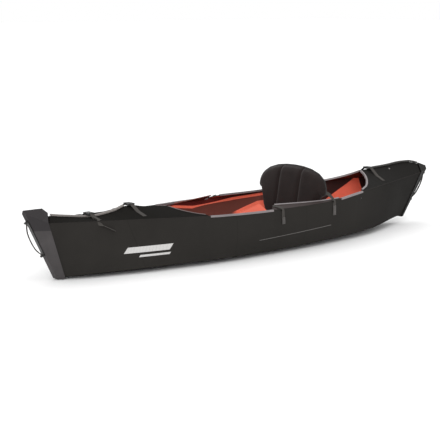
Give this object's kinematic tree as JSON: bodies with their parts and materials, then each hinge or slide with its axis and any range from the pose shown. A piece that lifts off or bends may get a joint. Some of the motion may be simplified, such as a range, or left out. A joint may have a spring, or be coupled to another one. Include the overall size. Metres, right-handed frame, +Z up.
{
  "type": "folding kayak",
  "caption": "Folding sit-in kayak of creased twin-wall sheet with open cockpit, padded seat back, foot bar, deck closing straps and buckles, end covers, grab loops and a side carrying handle.",
  "frame": {"origin": "middle of the boat's length on its centre plane, in the flat of the bottom that it rests on", "axes": "X along the boat with the bow at -X and the stern at +X, Y across with the side of the carrying handle at +Y, Z up"},
  "size_m": [2.952, 0.5978, 0.4389],
  "materials": {
    "outer_sheet": "twin-wall polypropylene sheet, near-black warm grey, fine flutes along the boat",
    "inner_sheet": "twin-wall polypropylene sheet, bright orange-red",
    "grey_cover": "moulded cover, warm dark grey",
    "dark_cover": "moulded cover and plates, black",
    "edge_trim": "extruded edge trim, light warm grey, satin",
    "webbing": "woven polyester webbing, charcoal",
    "buckle_plastic": "moulded acetal, black",
    "seat_fabric": "woven nylon over foam, black-brown, piped",
    "seat_foam": "padded seat, black-brown cloth"
  },
  "bodies": {
    "hull": {"hull_bottom": "outer_sheet", "side_left": "outer_sheet", "side_right": "outer_sheet", "gunwale_flap_left": "outer_sheet", "gunwale_flap_right": "outer_sheet", "flap_gusset_left": "inner_sheet", "flap_gusset_right": "inner_sheet", "gunwale_trim_front_left": "edge_trim", "gunwale_trim_front_right": "edge_trim", "gunwale_trim_rear_left": "edge_trim", "gunwale_trim_rear_right": "edge_trim", "flap_trim_left": "edge_trim", "flap_trim_right": "edge_trim", "bow_cover": "grey_cover", "stern_cover": "dark_cover", "bow_loop_plate": "dark_cover", "stern_loop_plate": "dark_cover", "handle_mount_front": "buckle_plastic", "handle_mount_rear": "buckle_plastic", "floor_rear": "inner_sheet", "seat_pad": "seat_foam", "side_strap_front_left": "webbing", "side_strap_front_right": "webbing", "seat_strap_left": "webbing", "seat_strap_right": "webbing", "foot_strap_left": "webbing", "foot_strap_right": "webbing"},
    "bow_deck_left": {"bow_deck_left": "outer_sheet", "bow_rim_trim_left": "edge_trim", "bow_seam_rail": "edge_trim", "bow_strap_1_socket": "buckle_plastic", "bow_strap_1_webbing_left": "webbing", "bow_strap_1_webbing_right": "webbing", "bow_strap_2_socket": "buckle_plastic", "bow_strap_2_webbing_left": "webbing", "bow_strap_2_webbing_right": "webbing"},
    "bow_deck_right": {"bow_deck_right": "outer_sheet", "bow_rim_trim_right": "edge_trim", "bow_strap_1_anchor": "buckle_plastic", "bow_strap_2_anchor": "buckle_plastic"},
    "stern_deck_left": {"stern_deck_left": "outer_sheet", "stern_rim_trim_left": "edge_trim", "stern_seam_rail": "edge_trim", "stern_strap_socket": "buckle_plastic", "stern_strap_webbing_left": "webbing", "stern_strap_webbing_right": "webbing"},
    "stern_deck_right": {"stern_deck_right": "outer_sheet", "stern_rim_trim_right": "edge_trim", "stern_strap_anchor": "buckle_plastic"},
    "bow_plug_1": {"bow_strap_1_plug": "buckle_plastic"},
    "bow_plug_2": {"bow_strap_2_plug": "buckle_plastic"},
    "stern_plug": {"stern_strap_plug": "buckle_plastic"},
    "seat_back": {"seat_back": "seat_fabric", "seat_back_board": "dark_cover"},
    "floor_front": {"floor_front": "inner_sheet"},
    "foot_bar": {"foot_bar": "inner_sheet"},
    "bow_grab_loop": {"bow_grab_loop": "webbing"},
    "stern_grab_loop": {"stern_grab_loop": "webbing"},
    "carry_handle": {"carry_handle": "buckle_plastic"}
  },
  "joints": [
    {"name": "bow_deck_left_open", "type": "hinge", "parent": "hull", "child": "bow_deck_left", "pos_m": [-0.44866, -0.2451, 0.26213], "axis": [0.9795, -0.197, -0.0408], "range_deg": [0, 95]},
    {"name": "bow_deck_right_open", "type": "hinge", "parent": "hull", "child": "bow_deck_right", "pos_m": [-0.44866, 0.2451, 0.26213], "axis": [-0.9795, -0.197, 0.0408], "range_deg": [0, 95]},
    {"name": "stern_deck_left_open", "type": "hinge", "parent": "hull", "child": "stern_deck_left", "pos_m": [0.55898, -0.25507, 0.27503], "axis": [0.9676, 0.2494, 0.0392], "range_deg": [0, 95]},
    {"name": "stern_deck_right_open", "type": "hinge", "parent": "hull", "child": "stern_deck_right", "pos_m": [0.55898, 0.25507, 0.27503], "axis": [-0.9676, 0.2494, -0.0392], "range_deg": [0, 95]},
    {"name": "bow_buckle_1_release", "type": "slide", "parent": "bow_deck_left", "child": "bow_plug_1", "axis": [0, -1, 0], "range_m": [0, 0.022], "deforming": ["bow_strap_1_webbing_left"]},
    {"name": "bow_buckle_2_release", "type": "slide", "parent": "bow_deck_left", "child": "bow_plug_2", "axis": [0, -1, 0], "range_m": [0, 0.022], "deforming": ["bow_strap_2_webbing_left"]},
    {"name": "stern_buckle_release", "type": "slide", "parent": "stern_deck_left", "child": "stern_plug", "axis": [0, -1, 0], "range_m": [0, 0.022], "deforming": ["stern_strap_webbing_left"]},
    {"name": "seat_back_tilt", "type": "hinge", "parent": "hull", "child": "seat_back", "pos_m": [0.318, 0, 0.29], "axis": [0, -1, 0], "range_deg": [-20, 75], "deforming": ["seat_strap_left", "seat_strap_right"]},
    {"name": "floor_front_lift", "type": "hinge", "parent": "hull", "child": "floor_front", "pos_m": [-0.06, 0, 0.0108], "axis": [0, 1, 0], "range_deg": [0, 100]},
    {"name": "foot_bar_adjust", "type": "slide", "parent": "hull", "child": "foot_bar", "axis": [1, 0, 0], "range_m": [-0.06, 0.06], "deforming": ["foot_strap_left", "foot_strap_right"]},
    {"name": "bow_loop_swing", "type": "hinge", "parent": "hull", "child": "bow_grab_loop", "pos_m": [-1.45907, 0, 0.30023], "axis": [0.4437, 0, -0.8962], "range_deg": [-80, 80]},
    {"name": "stern_loop_swing", "type": "hinge", "parent": "hull", "child": "stern_grab_loop", "pos_m": [1.45798, 0, 0.29237], "axis": [-0.5959, 0, -0.803], "range_deg": [-80, 80]},
    {"name": "carry_handle_swing", "type": "hinge", "parent": "hull", "child": "carry_handle", "pos_m": [0.11048, 0.29734, 0.21441], "axis": [0.9998, -0.0194, 0], "range_deg": [0, 150]}
  ],
  "couplings": [
    {"joint": "bow_deck_right_open", "follows": "bow_deck_left_open", "ratio": 1},
    {"joint": "stern_deck_right_open", "follows": "stern_deck_left_open", "ratio": 1}
  ]
}
